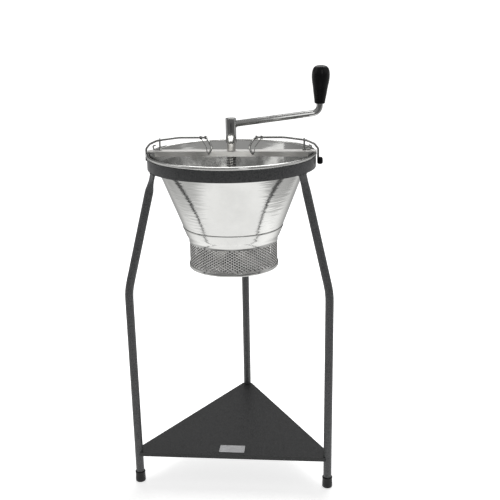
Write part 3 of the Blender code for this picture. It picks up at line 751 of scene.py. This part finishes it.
def make_sieve_floor():
    """The sieve's floor: a perforated plate in a rolled rim."""
    under, over = FLOOR_FOOT + FLOOR_PLATE[0], FLOOR_FOOT + FLOOR_PLATE[1]
    inner = DRUM_R + GAP
    plate_r = inner - 0.0030
    height = FLOOR_TOP - FLOOR_FOOT
    bulge = arc((FLOOR_R - 0.0030, FLOOR_FOOT + 0.0030), 0.0030, -90, -5, 8)
    bulge += arc((FLOOR_R - 0.0022, FLOOR_TOP - 0.0022), 0.0022, 10, 90, 6)
    profile = [(plate_r, under), (inner - 0.0020, under), (inner - 0.0008, FLOOR_FOOT + 0.0002)] + bulge
    profile += [(inner, FLOOR_FOOT + height), (inner, over), (plate_r, over)]
    finish_piece("floor_rim", turned(profile, FINE), SPUN, "sieve", crease=40)

    pitch_v = HOLE_PITCH * sin(radians(60))
    count = ceil(2 * plate_r / HOLE_PITCH) + 2
    rows = ceil(2 * plate_r / pitch_v) + 2
    centre_u, centre_v = count * HOLE_PITCH / 2, rows * pitch_v / 2
    reach = plate_r - 0.0040

    def place(u, v):
        return AXIS + Vector((u - centre_u, v - centre_v, over))

    def keep(u, v):
        distance = hypot(u - centre_u, v - centre_v)
        return 0.0150 < distance < reach - HOLE_PITCH / 2

    bm = hole_cells(count, rows, HOLE_PITCH, pitch_v, HOLE_R, place, 6, keep)
    middle = Vector((AXIS.x, AXIS.y, over))
    outer_rim, hub_rim = [], []
    for edge in bm.edges:
        if edge.is_boundary and is_brick_edge(edge, HOLE_R):
            nearest = min((vert.co - middle).length for vert in edge.verts)
            (outer_rim if nearest > 0.05 else hub_rim).append(edge)
    for radius, rim in ((plate_r, outer_rim), (0.0070, hub_rim)):
        segments = 96 if radius > 0.05 else 24
        angles = [2 * pi * k / segments for k in range(segments)]
        ring = [bm.verts.new(middle + Vector((radius * cos(a), radius * sin(a), 0))) for a in angles]
        circle = [bm.edges.new((ring[k], ring[(k + 1) % segments])) for k in range(segments)]
        bmesh.ops.triangle_fill(bm, edges=circle + rim, use_beauty=True, normal=(0, 0, 1))
    hub_circle = [edge for edge in bm.edges if edge.is_boundary
                  and max((vert.co - middle).length for vert in edge.verts) < 0.0072]
    bmesh.ops.contextual_create(bm, geom=hub_circle)
    plate = finish_piece("floor_perforated", bm, SIEVE, "sieve", ["sieve_floor"],
                         crease=30)
    thicken(plate, over - under, -1.0)


def is_brick_edge(edge, hole):
    """True for an edge of a cell's outline, and not of its hole: those are longer than a hole's side."""
    return (edge.verts[0].co - edge.verts[1].co).length > hole * 1.2


# ---------------------------------------------------------------- crossbar, clamps and spring

def clamp_path(sign):
    """Centre line of a clamp wire, from its hooked inner end to the outside of the rim."""
    x, y, z = PIVOT
    corners = [(x, -0.0095, z), (x, y, z), (x - 0.0085, y, z + 0.0150), (x - 0.0020, y, WIRE_TOP - 0.0080),
               (x + 0.0060, 0.0, WIRE_TOP), (0.1250, 0.0, WIRE_TOP), (POST_X + 0.006, 0.0, 0.8335),
               (0.1960, 0.0, 0.8250), (WIRE_END[0], 0.0, 0.8140), (WIRE_END[0], 0.0, WIRE_END[1])]
    bends = (0.0034, 0.0100, 0.0080, 0.0080, 0.1000, 0.0500, 0.0080, 0.0080)
    return rounded_path([AXIS + Vector((sign * px, py, pz)) for px, py, pz in corners], bends)


def winding(centre, along, radius, wire, turns, pitch):
    """A short tight winding of wire round a line."""
    along = along.normalized()
    side = along.orthogonal().normalized()
    other = along.cross(side)
    steps = 18
    path = []
    for i in range(round(turns * steps) + 1):
        angle = 2 * pi * i / steps
        shift = pitch * (i / steps - turns / 2)
        path.append(centre + along * shift + side * radius * cos(angle) + other * radius * sin(angle))
    return sweep(path, wire, 8)


def make_clamps():
    """The two wire clamps, each with two windings on its crest's inner end."""
    for sign, side in ((-1, "left"), (1, "right")):
        parts = [sweep(clamp_path(sign), WIRE_R, 16)]
        for x in (PIVOT.x + 0.0085, PIVOT.x + 0.0200):
            centre = AXIS + Vector((sign * x, 0.0, WIRE_TOP))
            parts.append(winding(centre, Vector((1, 0, 0)), WIRE_R + 0.0009, 0.0012, 2, 0.0025))
        crest = AXIS + Vector((sign * (PIVOT.x + 0.0195), -0.0010, WIRE_TOP - 0.0020))
        inner = AXIS + Vector((sign * (PIVOT.x + 0.0050), PIVOT.y + 0.0020, BAR_TOP + 0.0100))
        foot = AXIS + Vector((sign * (PIVOT.x + 0.0036), PIVOT.y, PIVOT.z + 0.0035))
        parts.append(sweep(rounded_path((crest, inner, foot), (0.010,)), 0.0011, 10))
        finish_piece("clamp_bent_" + side, join(*parts), WIRE, "clamp_" + side,
                     ["clamp_wire_" + side])


def make_knobs():
    """Black ends pushed on to the clamp wires."""
    for side in ("left", "right"):
        node = "clamp_knob_" + side
        mid, low, high, radius = span(node)
        if radius > 0.004:
            points = [(0.0, low), (radius * 0.55, low + 0.0003), (radius * 0.93, low + 0.0026),
                      (radius, low + 0.0070), (radius * 0.93, high - 0.0040),
                      (radius * 0.62, high - 0.0006), (0.0, high)]
        else:
            points = [(0.0, low), (radius * 0.7, low + 0.0003), (radius, low + 0.0014),
                      (radius, high - 0.0010), (radius * 0.9, high), (0.0, high)]
        body = turned(smoothed(points, 5), 32, closed=False, matrix=Matrix.Translation((mid.x, mid.y, 0.0)))
        finish_piece("knob_moulded_" + side, body, PLASTIC, "clamp_" + side, [node],
                     crease=60)


def make_post_hooks():
    """The wire hooks at the foot of each post, curling outwards over the bar."""
    for sign, side in ((-1, "left"), (1, "right")):
        mid = span("wire_post_" + side)[0]
        wire = 0.0017
        foot = BAR_TOP + wire + GAP
        x, y = mid.x, mid.y
        corners = [(x + sign * 0.0052, y, foot), (x + sign * 0.0150, y, foot),
                   (x + sign * 0.0175, y, foot + 0.0085), (x + sign * 0.0105, y, foot + 0.0100)]
        path = rounded_path(corners, (0.0035, 0.0028))
        finish_piece("post_hook_" + side, sweep(path, wire, 12), WIRE, "bar")


def make_spring():
    """Coil spring with closed ends."""
    wire = 0.0013
    radius = SPRING_R - wire
    low, high = SPRING_FOOT + wire, SPRING_TOP - wire
    closed = 1.25
    open_turns = 17
    steps = 28
    total = open_turns + 2 * closed
    pitch = (high - low - 2 * closed * 2.05 * wire) / open_turns
    path = []
    height = low
    for i in range(round(total * steps) + 1):
        turn = i / steps
        angle = 2 * pi * turn
        path.append(AXIS + Vector((radius * cos(angle), radius * sin(angle), min(height, high))))
        end = min(turn, total - turn)
        height += (2.05 * wire if end < closed else pitch) / steps
    spring = finish_piece("spring_coil", sweep(path, wire, 10), SPRING, "bar",
                          ["pressure_spring"], crease=60)
    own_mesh(spring)


# ---------------------------------------------------------------- crank

def crank_direction():
    """Unit vector from the shaft to the grip, level."""
    flat = span("grip")[0] - AXIS
    return Vector((flat.x, flat.y, 0.0)).normalized()


def make_hub():
    """Turned hub, open at the top over the shaft's end, with the weld round the rod."""
    bore = SHAFT_R + GAP
    edge = 0.0009
    profile = [(bore, HUB_FOOT)] + arc((HUB_R - edge, HUB_FOOT + edge), edge, -90, 0, 4)
    profile += arc((HUB_R - edge, HUB_TOP - edge), edge, 0, 90, 4)
    profile += [(bore + 0.0008, HUB_TOP), (bore, HUB_TOP - 0.0008)]
    finish_piece("hub_turned", turned(profile, 64), CHROME, "rotor", ["crank_hub"],
                 crease=40)

    outward = crank_direction()
    arm_z = HUB_TOP - 0.0145
    rise = radians(6)
    along = outward * cos(rise) + Vector((0, 0, sin(rise)))
    centre = AXIS + Vector((0, 0, arm_z)) + along * (HUB_R + 0.0004)
    side = along.orthogonal().normalized()
    other = along.cross(side)
    steps = 72
    path = []
    for i in range(steps + 1):
        angle = 2 * pi * i / steps
        spoke = side * cos(angle) + other * sin(angle)
        across = spoke.dot(outward.cross(Vector((0, 0, 1))))
        sag = HUB_R - (HUB_R ** 2 - (0.0078 * across) ** 2) ** 0.5
        path.append(centre + spoke * 0.0078 - along * sag)
    bead = sweep(path, 0.0012, 10, lambda i: 1.0 + 0.12 * sin(i * 2.1))
    finish_piece("arm_weld", bead, CHROME, "rotor")


def make_grip():
    """Black pear-shaped grip that turns on the crank's end."""
    pivot = joint("grip_turn")
    base, axis = Vector(pivot["pos_m"]), Vector(pivot["axis"]).normalized()
    turn = Vector((0, 0, 1)).rotation_difference(axis).to_matrix().to_4x4()
    matrix = Matrix.Translation(base) @ turn
    skin = [(0.0112, 0.0), (0.0124, 0.0012), (0.0132, 0.0080), (0.0158, 0.0240), (0.0178, 0.0380),
            (0.0203, 0.0520), (0.0212, 0.0630), (0.0207, 0.0720), (0.0183, 0.0800), (0.0140, 0.0850),
            (0.0075, 0.0874), (0.0, 0.0880)]
    bore = 0.0063
    profile = [(0.0, 0.0650), (bore, 0.0650), (bore, 0.0006), (bore + 0.0006, 0.0)] + smoothed(skin, 5)
    body = turned(profile, 72, closed=False, matrix=matrix)
    finish_piece("grip_moulded", body, PLASTIC, "grip", ["grip"], crease=50)


# ---------------------------------------------------------------- studio

def aimed(item, target):
    """Turn a light towards a point."""
    item.rotation_euler = (Vector(target) - item.location).to_track_quat("-Z", "Y").to_euler()


def softbox(name, place, target, size, power, colour=(1.0, 1.0, 1.0)):
    """A rectangular light that the camera doesn't see."""
    light = bpy.data.lights.new(name, "AREA")
    light.shape = "RECTANGLE"
    light.size, light.size_y = size
    light.energy = power
    light.color = colour
    item = bpy.data.objects.new(name, light)
    bpy.context.scene.collection.objects.link(item)
    item.location = place
    item.visible_camera = False
    aimed(item, target)


class Fade:
    """Smooth masks of a direction or a place, for the studio's own shading."""

    def __init__(self, tree, coordinates):
        self.tree = tree
        self.axes = tree.nodes.new("ShaderNodeSeparateXYZ")
        tree.links.new(coordinates, self.axes.inputs[0])

    def ramp(self, value, low, high, to_low, to_high):
        node = self.tree.nodes.new("ShaderNodeMapRange")
        node.interpolation_type = "SMOOTHSTEP"
        for socket, number in zip(RANGE_SOCKETS, (low, high, to_low, to_high)):
            node.inputs[socket].default_value = number
        source = self.axes.outputs[value] if isinstance(value, str) else value
        self.tree.links.new(source, node.inputs["Value"])
        return node.outputs["Result"]

    def math(self, operation, *values):
        node = self.tree.nodes.new("ShaderNodeMath")
        node.operation = operation
        for i, value in enumerate(values):
            if isinstance(value, (int, float)):
                node.inputs[i].default_value = value
            else:
                self.tree.links.new(value, node.inputs[i])
        return node.outputs[0]

    def between(self, share, first, second):
        """first where share is 0, second where it is 1."""
        return self.math("ADD", self.math("MULTIPLY", first, self.math("SUBTRACT", 1.0, share)),
                         self.math("MULTIPLY", second, share))


def make_world():
    """A plain room: white along the far horizon, grey above it, darker in front of the stand."""
    world = bpy.data.worlds.new("studio")
    bpy.context.scene.world = world
    world.use_nodes = True
    tree = world.node_tree
    background = tree.nodes["Background"]
    fade = Fade(tree, tree.nodes.new("ShaderNodeTexCoord").outputs["Generated"])
    behind = fade.ramp("Y", -0.35, 0.45, 0.0, 1.0)
    back = fade.ramp("Z", 0.03, 0.16, HORIZON, BACK_WALL)
    front = fade.ramp("Z", -0.02, 0.40, FRONT_WALL, CEILING)
    tree.links.new(fade.between(behind, front, back), background.inputs["Strength"])
    background.inputs["Color"].default_value = (1.0, 1.0, 1.0, 1.0)


def plain_floor_look():
    """Pale paper, a little brighter behind the stand."""
    look = Look("studio_floor", (0.86, 0.86, 0.86), 0.7, specular=0.1)
    fade = Fade(look.tree, look.place)
    glow = fade.ramp("Y", -0.45, 0.15, NEAR_GLOW, FAR_GLOW)
    look.tree.links.new(glow, look.shader.inputs["Emission Strength"])
    look.shader.inputs["Emission Color"].default_value = (1.0, 1.0, 1.0, 1.0)
    return look.material


def reflected_floor_look():
    """The floor as the metal sees it: the same paper, with dark cloths laid to the front and both sides."""
    look = Look("reflected_floor", (0.0, 0.0, 0.0), 1.0, specular=0.0)
    fade = Fade(look.tree, look.place)
    near = fade.ramp("Y", -1.45, -0.75, 0.34, 1.0)
    x, y = fade.axes.outputs["X"], fade.axes.outputs["Y"]
    along_left = fade.math("ADD", x, fade.math("MULTIPLY", y, LEFT_CLOTH_SLOPE))
    along_right = fade.math("SUBTRACT", x, fade.math("MULTIPLY", y, RIGHT_CLOTH_SLOPE))
    left = fade.ramp(along_left, -1.02, -0.72, 0.50, 1.0)
    right = fade.ramp(along_right, 0.76, 0.92, 1.0, 0.42)
    paper = fade.math("MULTIPLY", near, fade.math("MULTIPLY", left, right))
    glow = fade.ramp("Y", -0.45, 0.15, NEAR_REFLECTION, FAR_REFLECTION)
    look.tree.links.new(fade.math("MULTIPLY", glow, paper), look.shader.inputs["Emission Strength"])
    look.shader.inputs["Emission Color"].default_value = (1.0, 1.0, 1.0, 1.0)
    return look.material


def make_floor(name, look):
    """A wide disc just under the feet."""
    bm = bmesh.new()
    bmesh.ops.create_circle(bm, cap_ends=True, segments=128, radius=150.0)
    mesh = bpy.data.meshes.new(name)
    bm.to_mesh(mesh)
    bm.free()
    mesh.materials.append(look)
    floor = bpy.data.objects.new(name, mesh)
    bpy.context.scene.collection.objects.link(floor)
    floor.location.z = cad_low.z - 0.0002
    return floor


def make_floors():
    """One floor for the camera and the light, and one for reflections only."""
    plain = make_floor("studio_floor", plain_floor_look())
    plain.visible_glossy = False
    reflected = make_floor("reflected_floor", reflected_floor_look())
    reflected.location.z -= 0.0004
    reflected.visible_camera = False
    reflected.visible_diffuse = False
    reflected.visible_shadow = False


def make_lights():
    """Key light at the right, a wide one overhead and two soft ones at the sides."""
    softbox("key_right", (0.98, -2.40, 2.00), (0.0, 0.0, 0.80), (0.6, 1.5), 3.4)
    softbox("overhead", (0.1, 1.3, 2.9), (0.0, 0.0, 0.6), (2.4, 1.6), 46)
    softbox("right_side", (2.2, -0.5, 2.0), (0.0, 0.0, 0.60), (1.8, 1.6), 3.5)
    softbox("left_side", (-2.4, -0.6, 2.2), (0.0, 0.0, 0.60), (1.6, 1.6), 5)


def make_camera():
    """Camera at the viewing angle, with its yaw from +Y, its pitch downwards and a little roll."""
    yaw, pitch, roll = radians(CAMERA_YAW), radians(CAMERA_PITCH), radians(CAMERA_ROLL)
    forward = Vector((sin(yaw) * cos(pitch), cos(yaw) * cos(pitch), -sin(pitch)))
    right = Vector((cos(yaw), -sin(yaw), 0.0))
    up = right.cross(forward)
    rolled_right = right * cos(roll) + up * sin(roll)
    rolled_up = up * cos(roll) - right * sin(roll)
    data = bpy.data.cameras.new("camera")
    data.lens = CAMERA_LENS
    data.sensor_width = 36.0
    data.clip_end = 400.0
    camera = bpy.data.objects.new("camera", data)
    bpy.context.scene.collection.objects.link(camera)
    rotation = Matrix((rolled_right, rolled_up, -forward)).transposed()
    camera.matrix_world = Matrix.Translation(CAMERA_PLACE) @ rotation.to_4x4()
    bpy.context.scene.camera = camera


def main():
    """Build the studio and every piece."""
    make_camera()
    make_world()
    make_floors()
    make_lights()
    bpy.context.scene.view_settings.view_transform = "Standard"
    paint_solids()
    make_ring()
    make_lug_welds()
    make_shelf_welds()
    make_caps()
    make_plate()
    make_hopper()
    make_collar()
    make_drum()
    make_sieve_floor()
    make_clamps()
    make_knobs()
    make_post_hooks()
    make_spring()
    make_hub()
    make_grip()


main()
